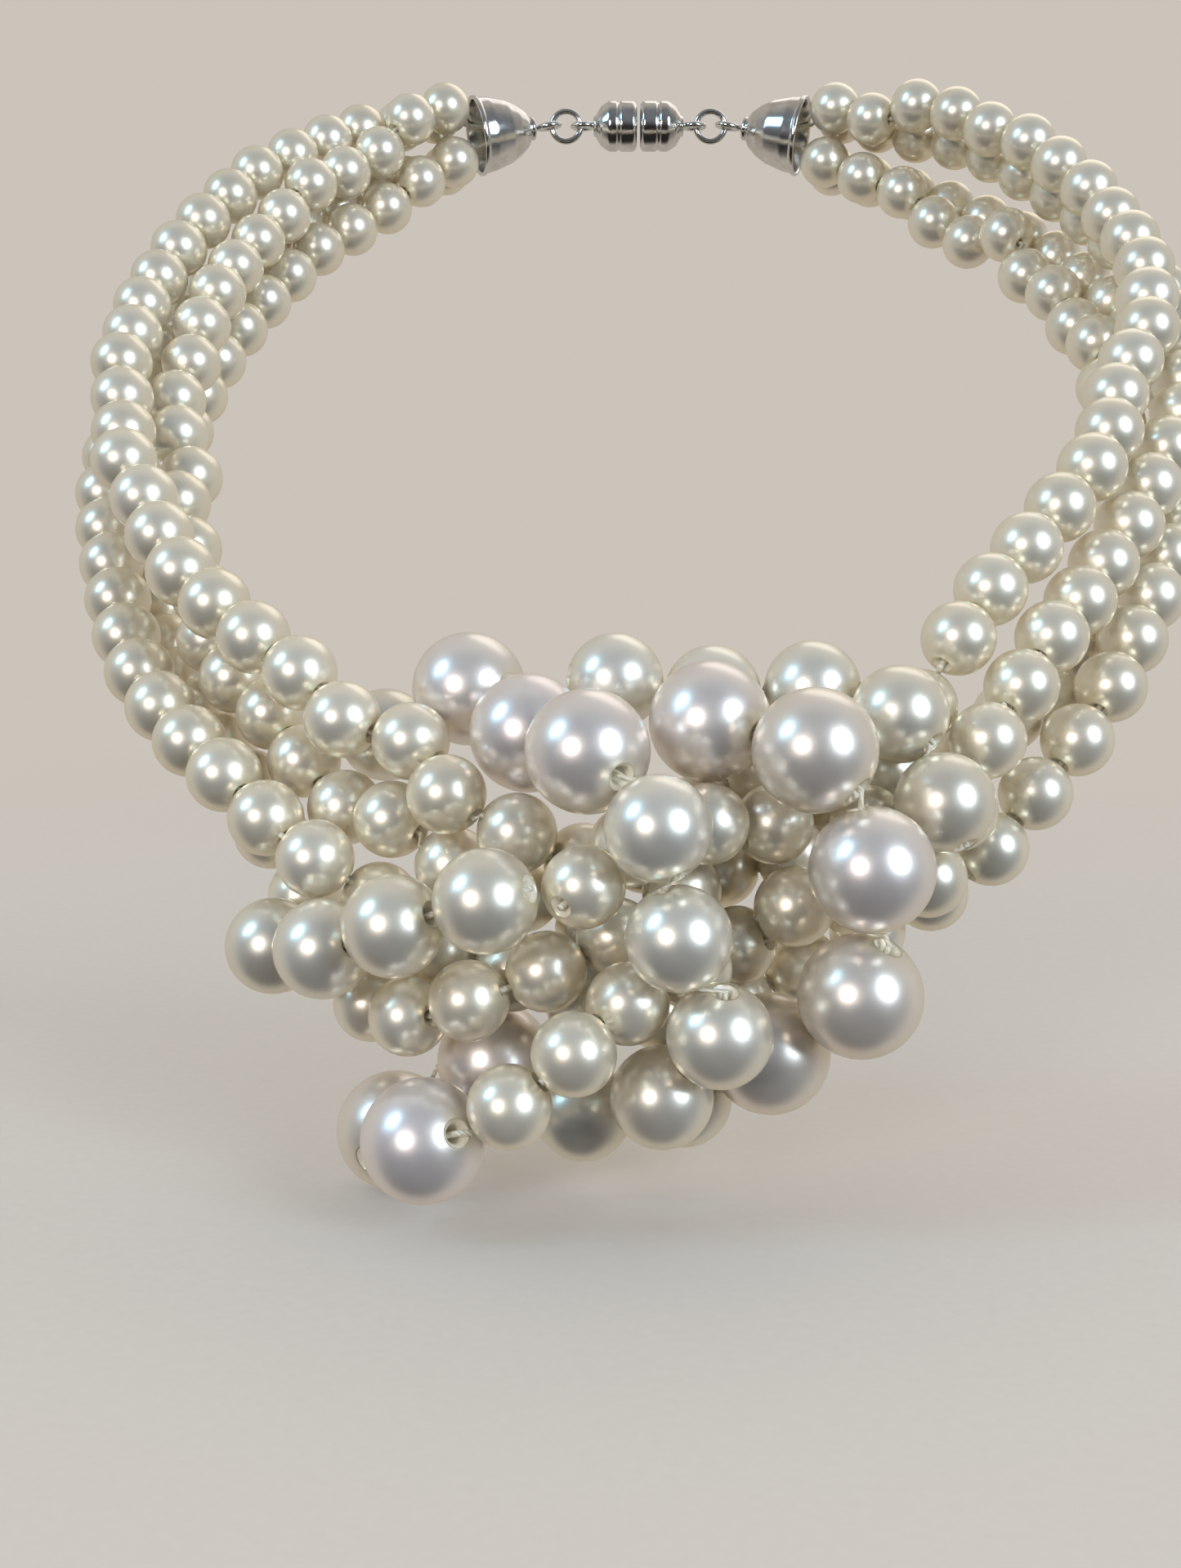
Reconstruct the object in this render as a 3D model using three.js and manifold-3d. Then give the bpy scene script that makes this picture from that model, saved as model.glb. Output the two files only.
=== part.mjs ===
// A knotted multi-strand necklace of simulated pearls, in its worn shape.
//
// Four strands of small pearls leave the left end cone at the nape, run round the neck, cross
// each other in a knot at the front and run back to the right end cone. Four threads of larger
// pearls and two short runs of small pearls lie round the knot. A magnetic barrel clasp joins
// the cones.
//
// Units are millimetres. The origin is on the neck's axis, level with the strands at the sides
// of the neck. -Y is the front, +Z is up.

import * as THREE from 'three';
import { mergeVertices } from 'three/addons/utils/BufferGeometryUtils.js';
import Module from 'manifold-3d';

const wasm = await Module();
wasm.setup();

// ---------------------------------------------------------------- driving dimensions

const SMALL = 8;               // pearl diameters
const MEDIUM = 10;
const LARGE = 12;
const GAP = 0.3;               // clearance between separate pieces that touch
const THREAD_R = 0.3;
const DRILL_R = 0.95;          // the drilled hole in a pearl
const STRAND_SIDES = 6;        // facets round a small pearl
const PEARL_SIDES = 8;         // facets round a large pearl
const SHOULDER_OUT = 0.48;     // a small pearl's two facet rings: distance from its middle
const SHOULDER_R = 0.88;       // and their radius, both as fractions of the pearl's radius

const NECK_R = 57.5;           // the neck that the necklace lies on
const NECK_FLARE = 0.22;       // how fast the chest comes forward below the neck
const NECK_FLARE_Z = -30;

const NAPE = new THREE.Vector3(0, 64, 43);   // the middle of the clasp
const CONE_YAW = THREE.MathUtils.degToRad(16);
const CONE_DIP = THREE.MathUtils.degToRad(10);
const CONE_L = 10;
const CONE_MOUTH_R = 6.2;
const CONE_TIP_R = 1.7;
const CONE_WALL = 0.6;
const STRAND_PITCH = 8.4;      // between the four strands where they leave a cone
const FIRST_PEARL = 15.4;      // from a cone's tip to the middle of the first pearls

const CLASP_R = 4;
const CLASP_L = 7.5;           // one half of the barrel
const MAGNET_R = 2.6;
const MAGNET_L = 2;
const LOOP_R = 1.7;            // wire loops on the clasp and the eye pin
const WIRE_R = 0.45;
const RING_R = 2.4;            // jump ring
const RING_WIRE_R = 0.5;
const CLASP_LOOP_X = CLASP_L + LOOP_R;
const RING_X = CLASP_LOOP_X + LOOP_R - WIRE_R + RING_R - RING_WIRE_R - GAP;
const EYE_X = RING_X + RING_R - RING_WIRE_R + LOOP_R - WIRE_R - GAP;
const TIP_X = EYE_X + LOOP_R + 1;

const HINGE_LEFT = new THREE.Vector3(-45, -75, 0);   // vertical lines that the sides open about
const HINGE_RIGHT = new THREE.Vector3(42, -74, 0);
const HINGE_WAY = 41;          // degrees from the X axis to the strands' way at the hinges

// ---------------------------------------------------------------- materials

function material(color, roughness, metalness) {
  return new THREE.MeshStandardMaterial({ color, roughness, metalness });
}

const CREAM = () => material(0xece8da, 0.25, 0);
const BLUSH = () => material(0xe6dcd8, 0.22, 0);
const THREAD = () => material(0xe9e4d2, 0.6, 0);
const SILVER = () => material(0xc8c8ca, 0.25, 1);
const MAGNET = () => material(0x9a9a9c, 0.35, 1);

const group = new THREE.Group();

function add(name, geometry, mat, parent = group) {
  const mesh = new THREE.Mesh(geometry, mat);
  mesh.name = name;
  parent.add(mesh);
  return mesh;
}

// ---------------------------------------------------------------- end hardware frames

// Each side's hardware is laid out along its own x, outwards from the clasp's face.
function sideFrame(side) {
  const frame = new THREE.Group();
  frame.position.copy(NAPE);
  frame.rotation.z = side < 0 ? Math.PI : 0;
  const cone = new THREE.Group();
  cone.position.set(EYE_X, 0, 0);
  const turn = new THREE.Euler(0, CONE_DIP, -side * CONE_YAW, 'ZYX');
  cone.setRotationFromEuler(turn);
  frame.add(cone);
  group.add(frame);
  frame.updateMatrixWorld(true);
  return { frame, cone };
}

const frames = { left: sideFrame(-1), right: sideFrame(1) };

// A point given from a cone's tip: along the cone, and across it towards the outside and up.
function fromCone(side, along, out, up) {
  const outward = side === 'left' ? -out : out;
  const p = new THREE.Vector3(TIP_X - EYE_X + along, outward, up);
  return p.applyMatrix4(frames[side].cone.matrixWorld);
}

// ---------------------------------------------------------------- strand routes

// Each strand's place in the bundle where it leaves a cone: towards the outside, and up.
const CORNER = {
  top_outer: [1, 1],
  top_inner: [-1, 1],
  bottom_outer: [1, -1],
  bottom_inner: [-1, -1],
};

// A route's pins are the points that a pearl sits on; the pearls between them are spaced evenly.
const STRANDS = [
  {
    name: 'strand_1',
    left: 'top_outer',
    right: 'top_inner',
    pins: [8, 10, 15],
    points: [
      [-48, 46, 37], [-61, 29, 26], [-67, 11, 12], [-68, -8, -1], [-66, -22, -10], [-61, -34, -18],
      [-54, -46, -26], [-44, -57, -33], [-33, -66, -40], [-21, -73, -47], [-16, -76, -50],
      [-9, -74, -56], [0, -70, -58], [10, -69, -54], [20, -67, -46], [28, -66, -36],
      [32, -60, -32], [41, -50, -23], [50, -40, -14], [56, -28, -5], [62, -16, 4], [65, -2, 13],
      [62, 17, 25], [52, 35, 36],
    ],
  },
  {
    name: 'strand_2',
    left: 'top_inner',
    right: 'top_outer',
    pins: [9, 11, 15, 18],
    points: [
      [-44, 42, 34], [-55, 28, 22], [-62, 10, 8], [-63, -6, -6], [-60, -16, -13], [-58, -26, -20],
      [-54, -36, -29], [-49, -46, -37], [-40, -57, -45], [-34, -63, -49], [-28, -70, -52],
      [-23, -72, -54], [-15, -70, -60], [-6, -69, -63], [2, -73, -64], [8, -78, -59],
      [13, -74, -56], [20, -72, -51], [28, -70, -45], [33, -66, -42], [42, -56, -34],
      [51, -45, -26], [59, -34, -18], [66, -20, -7], [69, -4, 5], [67, 14, 17], [56, 34, 32],
    ],
  },
  {
    name: 'strand_3',
    left: 'bottom_outer',
    right: 'bottom_outer',
    pins: [8, 10, 15, 18, 21],
    points: [
      [-50, 43, 26], [-62, 28, 14], [-69, 11, 1], [-71, -5, -13], [-69, -18, -23],
      [-65, -32, -31], [-60, -44, -38], [-52, -56, -44], [-41, -67, -51], [-36, -72, -54],
      [-30, -73, -58], [-24, -71, -64], [-16, -74, -71], [-7, -71, -73], [2, -70, -70],
      [12, -72, -66], [17, -68, -64], [22, -65, -62], [28, -64, -61], [33, -61, -55],
      [37, -59, -48], [40, -56, -42], [50, -47, -34], [58, -39, -27], [64, -28, -19],
      [69, -12, -9], [70, 6, 3], [65, 26, 16], [51, 43, 27],
    ],
  },
  {
    name: 'strand_4',
    left: 'bottom_inner',
    right: 'bottom_inner',
    pins: [9, 12, 15],
    points: [
      [-45, 39, 24], [-56, 26, 13], [-63, 9, 0], [-65, -7, -14], [-64, -17, -28],
      [-60, -29, -37], [-54, -41, -43], [-47, -51, -48], [-43, -58, -53], [-42, -65, -59],
      [-37, -67, -67], [-31, -70, -71], [-27, -78, -70], [-20, -82, -66], [-14, -81, -64],
      [-7, -76, -62], [0, -75, -57], [5, -70, -50], [12, -66, -45], [20, -64, -50],
      [28, -61, -50], [36, -55, -45], [44, -47, -39], [53, -37, -32], [59, -26, -24],
      [63, -13, -13], [64, 3, 0], [60, 20, 12], [46, 38, 25],
    ],
  },
];

// Threads of larger pearls looped round the knot, one route point for each pearl.
const LOOPS = [
  {
    name: 'garland',
    sizes: [MEDIUM, LARGE, LARGE, LARGE, MEDIUM, MEDIUM, MEDIUM, MEDIUM],
    points: [
      [-29, -58, -43], [-20, -62, -39], [-14, -72, -41], [-8, -82, -43],
      [-3, -88, -48], [0, -90, -57], [2, -88, -66], [-1, -84, -75],
    ],
  },
  {
    name: 'rim',
    sizes: [LARGE, LARGE, LARGE, LARGE, LARGE, MEDIUM, MEDIUM, LARGE, LARGE, LARGE],
    points: [
      [4, -76, -40], [13, -83, -42], [18, -86, -52], [18, -86, -64], [10, -80, -72],
      [0, -74, -77], [-9, -77, -79], [-18, -71, -75], [-27, -75, -81], [-23, -87, -78],
    ],
  },
  {
    name: 'collar',
    sizes: [MEDIUM, MEDIUM, MEDIUM, MEDIUM, MEDIUM],
    points: [[-5, -66, -37], [5, -65, -38], [14, -65, -38], [22, -67, -41], [26, -73, -50]],
  },
  {
    name: 'swag',
    sizes: [MEDIUM, MEDIUM, MEDIUM, MEDIUM],
    points: [[-41, -68, -64], [-34, -78, -62], [-26, -84, -58], [-17, -87, -55]],
  },
];

// Short runs of small pearls among them, one route point for each pearl.
const SMALL_RUNS = [
  {
    name: 'tie_upper',
    points: [[-9, -85, -54], [-3, -79, -53], [3, -80, -49], [10, -76, -50], [17, -73, -46]],
  },
  {
    name: 'tie_lower',
    points: [[-16, -90, -74], [-10, -91, -69], [-4, -87, -66], [3, -81, -63]],
  },
];

// ---------------------------------------------------------------- pearls along the routes

// Middles of pearls along a smooth route, about a pitch apart and one on each pin.
function spaceAlong(route, pins, pitch) {
  const curve = new THREE.CatmullRomCurve3(route, false, 'centripetal');
  const steps = (route.length - 1) * 40;
  curve.arcLengthDivisions = steps;
  const lengths = curve.getLengths();
  const at = (index) => lengths[Math.round((index / (route.length - 1)) * steps)];
  const stops = [0, ...pins, route.length - 1].map(at);
  const middles = [route[0].clone()];
  for (let k = 1; k < stops.length; k += 1) {
    const span = stops[k] - stops[k - 1];
    const count = Math.round(span / pitch);
    for (let i = 1; i <= count; i += 1) {
      middles.push(curve.getPointAt((stops[k - 1] + (span * i) / count) / lengths.at(-1)));
    }
  }
  return middles;
}

const STRAND_HOLD = 1;         // how hard a pearl is to push aside
const LOOP_HOLD = 4;
const pearls = [];             // every pearl: middle, radius, chain and place in its chain
const chains = [];

function addChain(name, middles, radii, kind) {
  const chain = { name, kind, pearls: [] };
  const hold = kind === 'strand' ? STRAND_HOLD : LOOP_HOLD;
  middles.forEach((middle, i) => {
    const pearl = { p: middle.clone(), goal: middle.clone(), r: radii[i], chain, i, hold };
    pearls.push(pearl);
    chain.pearls.push(pearl);
  });
  chains.push(chain);
  return chain;
}

function hingeSide(point) {
  const way = THREE.MathUtils.degToRad(HINGE_WAY);
  const past = (hinge, turn) => {
    return (point.x - hinge.x) * turn * Math.cos(way) + (point.y - hinge.y) * Math.sin(way);
  };
  if (point.x < 0 && past(HINGE_LEFT, -1) > 0) return 'left';
  if (point.x > 0 && past(HINGE_RIGHT, 1) > 0) return 'right';
  return 'knot';
}

for (const strand of STRANDS) {
  const ends = ['left', 'right'].map((side) => {
    const [out, up] = CORNER[strand[side]];
    const half = STRAND_PITCH / 2;
    return fromCone(side, FIRST_PEARL, out * half, up * half);
  });
  const route = [ends[0], ...strand.points.map((p) => new THREE.Vector3(...p)), ends[1]];
  const middles = spaceAlong(route, strand.pins.map((pin) => pin + 1), SMALL);
  const chain = addChain(strand.name, middles, middles.map(() => SMALL / 2), 'strand');
  chain.ends = strand;
  for (const pearl of chain.pearls) pearl.part = hingeSide(pearl.p);
  chain.pearls[0].fixed = true;
  chain.pearls.at(-1).fixed = true;
}
for (const loop of LOOPS) {
  const middles = loop.points.map((p) => new THREE.Vector3(...p));
  addChain(loop.name, middles, loop.sizes.map((d) => d / 2), 'loop');
}
for (const run of SMALL_RUNS) {
  const middles = run.points.map((p) => new THREE.Vector3(...p));
  addChain(run.name, middles, middles.map(() => SMALL / 2), 'run');
}

// ---------------------------------------------------------------- settling the pearls

const SETTLE_STEPS = 900;
const GOAL_PULL = 0.03;        // how strongly a pearl stays where its route puts it
const HARD_STEPS = 400;        // the last steps only keep the pearls apart and on their threads

function linkLength(a, b) {
  const sameBody = a.chain.kind !== 'loop' && a.part === b.part;
  return a.r + b.r + (sameBody ? 0 : GAP);
}

function separate(a, b, distance, share) {
  const delta = b.p.clone().sub(a.p);
  const now = delta.length();
  delta.multiplyScalar((share * (now - distance)) / now);
  const giveA = a.fixed ? 0 : 1 / a.hold;
  const giveB = b.fixed ? 0 : 1 / b.hold;
  a.p.addScaledVector(delta, giveA / (giveA + giveB));
  b.p.addScaledVector(delta, -giveB / (giveA + giveB));
}

function keepOffNeck(pearl) {
  const flare = Math.max(0, NECK_FLARE_Z - pearl.p.z) * NECK_FLARE * (pearl.p.y < 0 ? 1 : 0);
  const clear = NECK_R + flare + pearl.r;
  const out = Math.hypot(pearl.p.x, pearl.p.y);
  if (out < clear && !pearl.fixed) {
    pearl.p.x *= clear / out;
    pearl.p.y *= clear / out;
  }
}

function settle() {
  for (let step = 0; step < SETTLE_STEPS; step += 1) {
    const hard = step >= SETTLE_STEPS - HARD_STEPS;
    for (const pearl of pearls) {
      if (!hard && !pearl.fixed) pearl.p.lerp(pearl.goal, GOAL_PULL * pearl.hold);
      keepOffNeck(pearl);
    }
    for (const chain of chains) {
      for (let i = 1; i < chain.pearls.length; i += 1) {
        const [a, b] = [chain.pearls[i - 1], chain.pearls[i]];
        separate(a, b, linkLength(a, b), chain.kind === 'strand' && !hard ? 0.3 : 0.8);
      }
    }
    for (let i = 0; i < pearls.length; i += 1) {
      for (let j = i + 1; j < pearls.length; j += 1) {
        const [a, b] = [pearls[i], pearls[j]];
        const near = a.r + b.r + GAP;
        if (a.chain === b.chain && b.i - a.i === 1) continue;
        if (a.p.distanceToSquared(b.p) < near * near) separate(a, b, near, 1);
      }
    }
  }
}

settle();

// The way the thread runs through each pearl of a chain.
function threadWays(chain, first, last) {
  const middles = chain.pearls.map((pearl) => pearl.p);
  return middles.map((p, i) => {
    const before = i > 0 ? middles[i - 1] : first ?? p;
    const after = i < middles.length - 1 ? middles[i + 1] : last ?? p;
    const back = p.clone().sub(before).normalize();
    const on = after.clone().sub(p).normalize();
    return back.add(on).normalize();
  });
}

// ---------------------------------------------------------------- swept bodies

// A closed body through rings of one route: each ring has a middle, a way and a radius.
function sweep(rings, sides) {
  const positions = [];
  const index = [];
  let side = new THREE.Vector3(0, 0, 1).cross(rings[0].way);
  if (side.length() < 0.2) side.set(1, 0, 0);
  for (const { p, way, r } of rings) {
    side.addScaledVector(way, -side.dot(way)).normalize();
    const up = way.clone().cross(side);
    for (let k = 0; k < sides; k += 1) {
      const angle = (2 * Math.PI * k) / sides;
      const v = p.clone().addScaledVector(side, r * Math.cos(angle));
      v.addScaledVector(up, r * Math.sin(angle));
      positions.push(v.x, v.y, v.z);
    }
  }
  for (let ring = 1; ring < rings.length; ring += 1) {
    const [low, high] = [(ring - 1) * sides, ring * sides];
    for (let k = 0; k < sides; k += 1) {
      const next = (k + 1) % sides;
      index.push(low + k, low + next, high + next);
      index.push(low + k, high + next, high + k);
    }
  }
  const top = (rings.length - 1) * sides;
  for (let k = 1; k < sides - 1; k += 1) {
    index.push(0, k + 1, k);
    index.push(top, top + k, top + k + 1);
  }
  const geometry = new THREE.BufferGeometry();
  geometry.setAttribute('position', new THREE.Float32BufferAttribute(positions, 3));
  geometry.setIndex(index);
  return geometry;
}

// Rings of small pearls on their thread, in order, with the thread's bare ends if it has any.
function pearlRings(list, ways) {
  const rings = [];
  list.forEach((pearl, i) => {
    const way = ways[i];
    const out = pearl.r * SHOULDER_OUT;
    if (i === 0) rings.push({ p: pearl.p.clone().addScaledVector(way, -pearl.r), way, r: THREAD_R });
    rings.push({ p: pearl.p.clone().addScaledVector(way, -out), way, r: pearl.r * SHOULDER_R });
    rings.push({ p: pearl.p.clone().addScaledVector(way, out), way, r: pearl.r * SHOULDER_R });
    if (i < list.length - 1) {
      const next = list[i + 1].p;
      const between = next.clone().sub(pearl.p).normalize();
      rings.push({ p: pearl.p.clone().lerp(next, 0.5), way: between, r: THREAD_R });
    } else {
      rings.push({ p: pearl.p.clone().addScaledVector(way, pearl.r), way, r: THREAD_R });
    }
  });
  return rings;
}

// Rings of a bare thread through a list of points.
function threadRings(points) {
  return points.map((p, i) => {
    const before = points[Math.max(0, i - 1)];
    const after = points[Math.min(points.length - 1, i + 1)];
    return { p, way: after.clone().sub(before).normalize(), r: THREAD_R };
  });
}

// ---------------------------------------------------------------- strands

const CRIMP_L = 2.6;
const CRIMP_X = 2.6;           // the crimp's outer face, from the cone's tip
const THREAD_IN = 1.7;         // the threads' distance from the cone's axis at the crimp

function bareThread(side, corner) {
  const [out, up] = CORNER[corner];
  const lane = THREAD_IN / Math.SQRT2;
  return [
    fromCone(side, CONE_L + 0.9, out * 2.3, up * 2.3),
    fromCone(side, CONE_L - 2.6, out * lane, up * lane),
    fromCone(side, CRIMP_X + CRIMP_L + GAP, out * lane, up * lane),
  ];
}

for (const chain of chains.filter((c) => c.kind === 'strand')) {
  const leftThread = bareThread('left', chain.ends.left);
  const rightThread = bareThread('right', chain.ends.right);
  const ways = threadWays(chain, leftThread[0], rightThread[0]);
  ways[0] = chain.pearls[0].p.clone().sub(leftThread[0]).normalize();
  ways[ways.length - 1] = rightThread[0].clone().sub(chain.pearls.at(-1).p).normalize();
  for (const part of ['left', 'knot', 'right']) {
    const picked = chain.pearls.map((pearl, i) => i).filter((i) => chain.pearls[i].part === part);
    const rings = pearlRings(picked.map((i) => chain.pearls[i]), picked.map((i) => ways[i]));
    if (part === 'left') {
      rings.unshift(...threadRings([...leftThread.reverse(), rings[0].p]).slice(0, -1));
    }
    if (part === 'right') rings.push(...threadRings([rings.at(-1).p, ...rightThread]).slice(1));
    add(`${chain.name}_${part}`, sweep(rings, STRAND_SIDES), CREAM());
  }
}

for (const chain of chains.filter((c) => c.kind === 'run')) {
  add(chain.name, sweep(pearlRings(chain.pearls, threadWays(chain)), STRAND_SIDES), CREAM());
}

// ---------------------------------------------------------------- large pearls and their threads

function drilledPearl(radius) {
  const start = Math.asin(DRILL_R / radius);
  const steps = 5;
  const profile = [];
  for (let i = 0; i <= steps; i += 1) {
    const angle = start + ((Math.PI - 2 * start) * i) / steps;
    profile.push(new THREE.Vector2(radius * Math.sin(angle), -radius * Math.cos(angle)));
  }
  profile.push(profile[0].clone());
  return new THREE.LatheGeometry(profile, PEARL_SIDES);
}

const UP_Y = new THREE.Vector3(0, 1, 0);

const NEAR_HOLES = 1;          // holes closer than this share one bend of the thread
const RING_LEAN = 0.35;        // radians that a ring at a hole may lean towards the next hole
const STEEP_BEND = 1.45;        // radians past which a ring is lifted off its hole
const STEEP_LIFT = 0.3;

// Turns a ring part of the way towards the thread's next bend, and lifts it off the hole where that is steep.
function lean(ring, chord, outward) {
  const angle = ring.way.angleTo(chord);
  if (angle > STEEP_BEND) ring.p.addScaledVector(ring.way, outward * STEEP_LIFT);
  const axis = ring.way.clone().cross(chord).normalize();
  ring.way = ring.way.clone().applyAxisAngle(axis, Math.min(angle / 2, RING_LEAN));
}

// Rings of a loop's thread: in and out of each pearl's hole, and one bend where two holes meet.
function loopThread(chain, ways) {
  const rings = [];
  chain.pearls.forEach((pearl, i) => {
    const way = ways[i];
    const reach = pearl.r + GAP / 2;
    const entry = { p: pearl.p.clone().addScaledVector(way, -reach), way, r: THREAD_R };
    const last = rings.at(-1);
    if (last && last.p.distanceTo(entry.p) < NEAR_HOLES) {
      last.p.lerp(entry.p, 0.5);
      last.way = last.way.clone().add(way).normalize();
    } else {
      if (last) {
        const chord = entry.p.clone().sub(last.p).normalize();
        lean(last, chord, 1);
        lean(entry, chord, -1);
      }
      rings.push(entry);
    }
    rings.push({ p: pearl.p.clone().addScaledVector(way, reach), way, r: THREAD_R });
  });
  return rings;
}

for (const chain of chains.filter((c) => c.kind === 'loop')) {
  const ways = threadWays(chain);
  chain.pearls.forEach((pearl, i) => {
    const mat = pearl.r * 2 === LARGE ? BLUSH() : CREAM();
    const mesh = add(`${chain.name}_pearl_${i + 1}`, drilledPearl(pearl.r), mat);
    mesh.position.copy(pearl.p);
    mesh.quaternion.setFromUnitVectors(UP_Y, ways[i]);
  });
  add(`${chain.name}_thread`, sweep(loopThread(chain, ways), STRAND_SIDES), THREAD());
}

// ---------------------------------------------------------------- clasp, rings and cones

function toSolid(geometry) {
  const bare = geometry.clone();
  bare.deleteAttribute('normal');
  bare.deleteAttribute('uv');
  const merged = mergeVertices(bare, 1e-4);
  return new wasm.Manifold(new wasm.Mesh({
    numProp: 3,
    vertProperties: new Float32Array(merged.attributes.position.array),
    triVerts: new Uint32Array(merged.index.array),
  }));
}

function toGeometry(solid) {
  const mesh = solid.getMesh();
  const geometry = new THREE.BufferGeometry();
  geometry.setAttribute('position', new THREE.BufferAttribute(new Float32Array(mesh.vertProperties), 3));
  geometry.setIndex(new THREE.BufferAttribute(new Uint32Array(mesh.triVerts), 1));
  return geometry;
}

// A turned shape about the x axis from [x, radius] pairs, closed on itself.
function turned(pairs, sides = 16) {
  const profile = pairs.map(([x, r]) => new THREE.Vector2(r, x));
  profile.push(profile[0].clone());
  const geometry = new THREE.LatheGeometry(profile, sides);
  geometry.rotateZ(-Math.PI / 2);
  return geometry;
}

function wireLoop(radius, wire, x, flat) {
  const geometry = new THREE.TorusGeometry(radius, wire, 6, 14);
  if (!flat) geometry.rotateX(Math.PI / 2);
  geometry.translate(x, 0, 0);
  return geometry;
}

function claspHalf() {
  const pocket = GAP + MAGNET_L + GAP;
  const pocketR = MAGNET_R + GAP;
  const bevel = 0.6;
  const shell = toSolid(turned([
    [pocket, 0], [pocket, pocketR], [GAP, pocketR], [GAP, CLASP_R - bevel],
    [GAP + bevel, CLASP_R], [CLASP_L - 2.6, CLASP_R], [CLASP_L - 1.2, 3.2], [CLASP_L, 1.6],
    [CLASP_L, 0],
  ]));
  return toGeometry(shell.add(toSolid(wireLoop(LOOP_R, WIRE_R, CLASP_LOOP_X, true))));
}

function magnet() {
  return turned([[GAP, 0], [GAP, MAGNET_R], [GAP + MAGNET_L, MAGNET_R], [GAP + MAGNET_L, 0]], 12);
}

// The cone's parts are laid out from the eye pin's loop, at the cone group's origin.
const tip = TIP_X - EYE_X;

function endCone() {
  return turned([
    [tip, 0.95], [tip, CONE_TIP_R], [tip + 1.4, 3.1], [tip + 4.6, 5], [tip + 7.6, 5.9],
    [tip + CONE_L, CONE_MOUTH_R], [tip + CONE_L, CONE_MOUTH_R - CONE_WALL],
    [tip + 7.6, 5.9 - CONE_WALL], [tip + 4.6, 5 - CONE_WALL], [tip + 1.9, 3.1 - CONE_WALL],
    [tip + 0.9, 0.95],
  ], 14);
}

function eyePin() {
  const end = tip + CRIMP_X + CRIMP_L + 0.4;
  const shaft = toSolid(turned([[LOOP_R, 0], [LOOP_R, WIRE_R], [end, WIRE_R], [end, 0]], 8));
  const stop = tip + 1.4;
  const head = toSolid(turned([[stop, 0], [stop, 1.3], [stop + 0.8, 1.3], [stop + 0.8, 0]], 8));
  const loop = toSolid(wireLoop(LOOP_R, WIRE_R, 0, true));
  return toGeometry(shaft.add(head).add(loop));
}

function crimp() {
  const inner = WIRE_R + GAP;
  const near = tip + CRIMP_X;
  const far = near + CRIMP_L;
  return turned([[near, inner], [near, 2.3], [far, 2.3], [far, inner]], 10);
}

for (const side of ['left', 'right']) {
  const { frame, cone } = frames[side];
  add(`clasp_half_${side}`, claspHalf(), SILVER(), frame);
  add(`magnet_${side}`, magnet(), MAGNET(), frame);
  add(`jump_ring_${side}`, wireLoop(RING_R, RING_WIRE_R, RING_X, false), SILVER(), frame);
  add(`end_cone_${side}`, endCone(), SILVER(), cone);
  add(`eye_pin_${side}`, eyePin(), SILVER(), cone);
  add(`crimp_${side}`, crimp(), SILVER(), cone);
}

export default group;
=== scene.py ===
"""Looks of a knotted multi-strand necklace of simulated pearls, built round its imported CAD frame.

Every pearl's place and the way of its drilled hole are read from the CAD nodes. Each pearl is a
turned bead with a countersunk hole, on a cord that shows where the beads part. Lengths are in
metres, and sizes written with MM are in millimetres. The outlines and wires of the clasp, rings
and end cones are in plain millimetres.
"""

import math

import bmesh
import bpy
import numpy as np
from mathutils import Matrix, Vector


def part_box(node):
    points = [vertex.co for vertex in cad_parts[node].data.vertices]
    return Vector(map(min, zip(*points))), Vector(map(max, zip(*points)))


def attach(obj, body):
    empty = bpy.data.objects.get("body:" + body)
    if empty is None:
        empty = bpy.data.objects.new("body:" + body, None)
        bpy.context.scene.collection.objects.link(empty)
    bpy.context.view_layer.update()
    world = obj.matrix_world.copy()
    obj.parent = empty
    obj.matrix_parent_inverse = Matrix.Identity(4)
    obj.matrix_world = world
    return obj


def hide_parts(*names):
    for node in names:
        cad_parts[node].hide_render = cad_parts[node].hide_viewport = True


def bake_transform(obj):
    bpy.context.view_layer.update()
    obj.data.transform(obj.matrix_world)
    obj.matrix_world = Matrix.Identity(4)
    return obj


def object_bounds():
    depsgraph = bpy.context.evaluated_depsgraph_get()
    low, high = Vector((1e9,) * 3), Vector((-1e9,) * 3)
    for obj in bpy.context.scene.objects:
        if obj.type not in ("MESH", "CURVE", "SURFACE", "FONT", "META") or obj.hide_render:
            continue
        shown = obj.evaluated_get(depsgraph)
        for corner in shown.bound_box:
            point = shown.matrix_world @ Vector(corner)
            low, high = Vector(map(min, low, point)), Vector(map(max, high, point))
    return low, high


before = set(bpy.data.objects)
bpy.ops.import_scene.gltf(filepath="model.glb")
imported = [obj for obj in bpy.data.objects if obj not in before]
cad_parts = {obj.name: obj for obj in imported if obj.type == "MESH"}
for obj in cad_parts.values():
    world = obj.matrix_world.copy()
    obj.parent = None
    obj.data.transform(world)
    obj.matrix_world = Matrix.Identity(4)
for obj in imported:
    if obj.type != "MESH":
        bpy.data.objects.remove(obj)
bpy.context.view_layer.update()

MM = 0.001
SIDES = ("left", "right")
STRANDS = ("strand_1", "strand_2", "strand_3", "strand_4")
TIES = ("tie_upper", "tie_lower")
LOOPS = {"garland": 8, "rim": 10, "collar": 5, "swag": 4}      # pearls on each loop

# ---------------------------------------------------------------- camera

CAMERA_PLACE = (-8 * MM, -250 * MM, -18 * MM)
CAMERA_PITCH = 9.1             # degrees below level
CAMERA_FILM = 36               # the picture's long side on the film, in millimetres
CAMERA_LENS = 41.27            # focal length, in millimetres


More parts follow.
